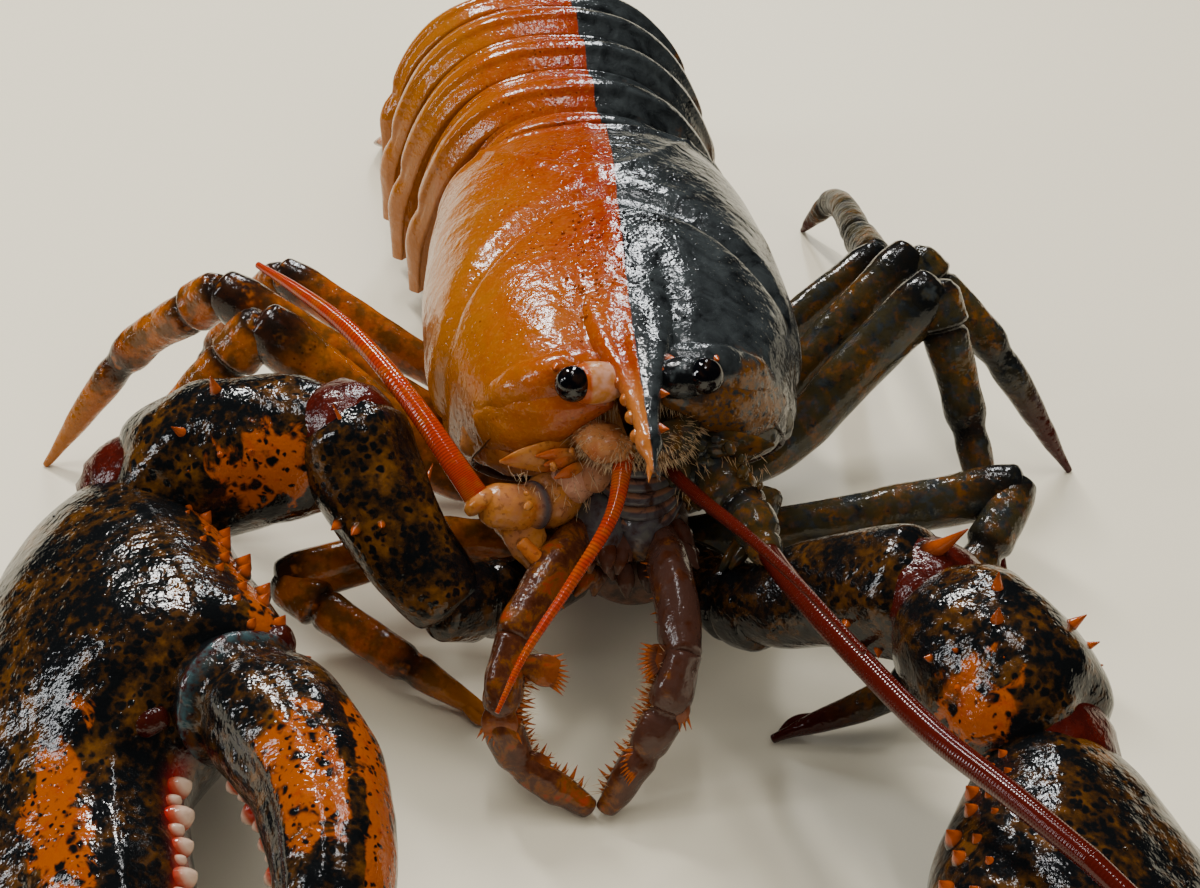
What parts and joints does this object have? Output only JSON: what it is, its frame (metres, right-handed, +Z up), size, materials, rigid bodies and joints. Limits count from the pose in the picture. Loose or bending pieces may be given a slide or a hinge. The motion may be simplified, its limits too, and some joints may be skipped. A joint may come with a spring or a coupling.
{
  "type": "american lobster",
  "caption": "Life-size still American lobster, orange on its right half and black on its left, standing with both claws forward on the floor.",
  "frame": {"origin": "middle of the footprint on the floor the lobster stands on", "axes": "+Z up, head towards -Y and tail towards +Y, the lobster's own right side at -X"},
  "size_m": [0.223, 0.403, 0.0668],
  "materials": {
    "shell_two_tone": "wet shell, orange on one half and near black on the other, meeting in a straight line",
    "shell_orange": "wet orange and amber shell with dark olive bands",
    "shell_black": "wet near-black shell with ochre mottling",
    "claw_shell": "wet dark brown shell with orange spots and patches",
    "feeler_red": "ringed red feeler",
    "feeler_dark": "ringed dark red feeler",
    "eye": "polished black",
    "eyestalk": "pale pinkish shell",
    "underside": "duller tan and pink shell"
  },
  "bodies": {
    "root": {"carapace": "shell_two_tone", "sternum": "underside", "tail_ring_1": "shell_two_tone", "tail_ring_2": "shell_two_tone", "tail_ring_3": "shell_two_tone", "tail_ring_4": "shell_two_tone", "tail_ring_5": "shell_two_tone", "tail_ring_6": "shell_two_tone", "telson": "shell_two_tone", "tail_fan_inner_right": "shell_orange", "tail_fan_outer_right": "shell_orange", "tail_fan_inner_left": "shell_black", "tail_fan_outer_left": "shell_black", "eyestalk_right": "eyestalk", "eye_right": "eye", "eyestalk_left": "eyestalk", "eye_left": "eye", "antenna_base_right": "shell_orange", "antenna_right": "feeler_red", "antennule_right": "feeler_red", "antenna_base_left": "shell_black", "antenna_left": "feeler_dark", "antennule_left": "feeler_dark", "antenna_left_tip": "feeler_dark", "mouth": "underside", "maxilliped_right_upper": "shell_orange", "maxilliped_right_lower": "shell_orange", "maxilliped_left_upper": "shell_black", "maxilliped_left_lower": "shell_black", "claw_right_hip": "claw_shell", "claw_right_merus": "claw_shell", "claw_right_carpus": "claw_shell", "claw_right_palm": "claw_shell", "claw_right_finger": "claw_shell", "leg_right_1_upper": "shell_orange", "leg_right_1_lower": "shell_orange", "leg_right_2_upper": "shell_orange", "leg_right_2_lower": "shell_orange", "leg_right_3_upper": "shell_orange", "leg_right_3_lower": "shell_orange", "leg_right_4_upper": "shell_orange", "leg_right_4_lower": "shell_orange", "claw_left_hip": "claw_shell", "claw_left_merus": "claw_shell", "claw_left_carpus": "claw_shell", "claw_left_palm": "claw_shell", "claw_left_finger": "claw_shell", "leg_left_1_upper": "shell_black", "leg_left_1_lower": "shell_black", "leg_left_2_upper": "shell_black", "leg_left_2_lower": "shell_black", "leg_left_3_upper": "shell_black", "leg_left_3_lower": "shell_black", "leg_left_4_upper": "shell_black", "leg_left_4_lower": "shell_black"}
  },
  "joints": []
}
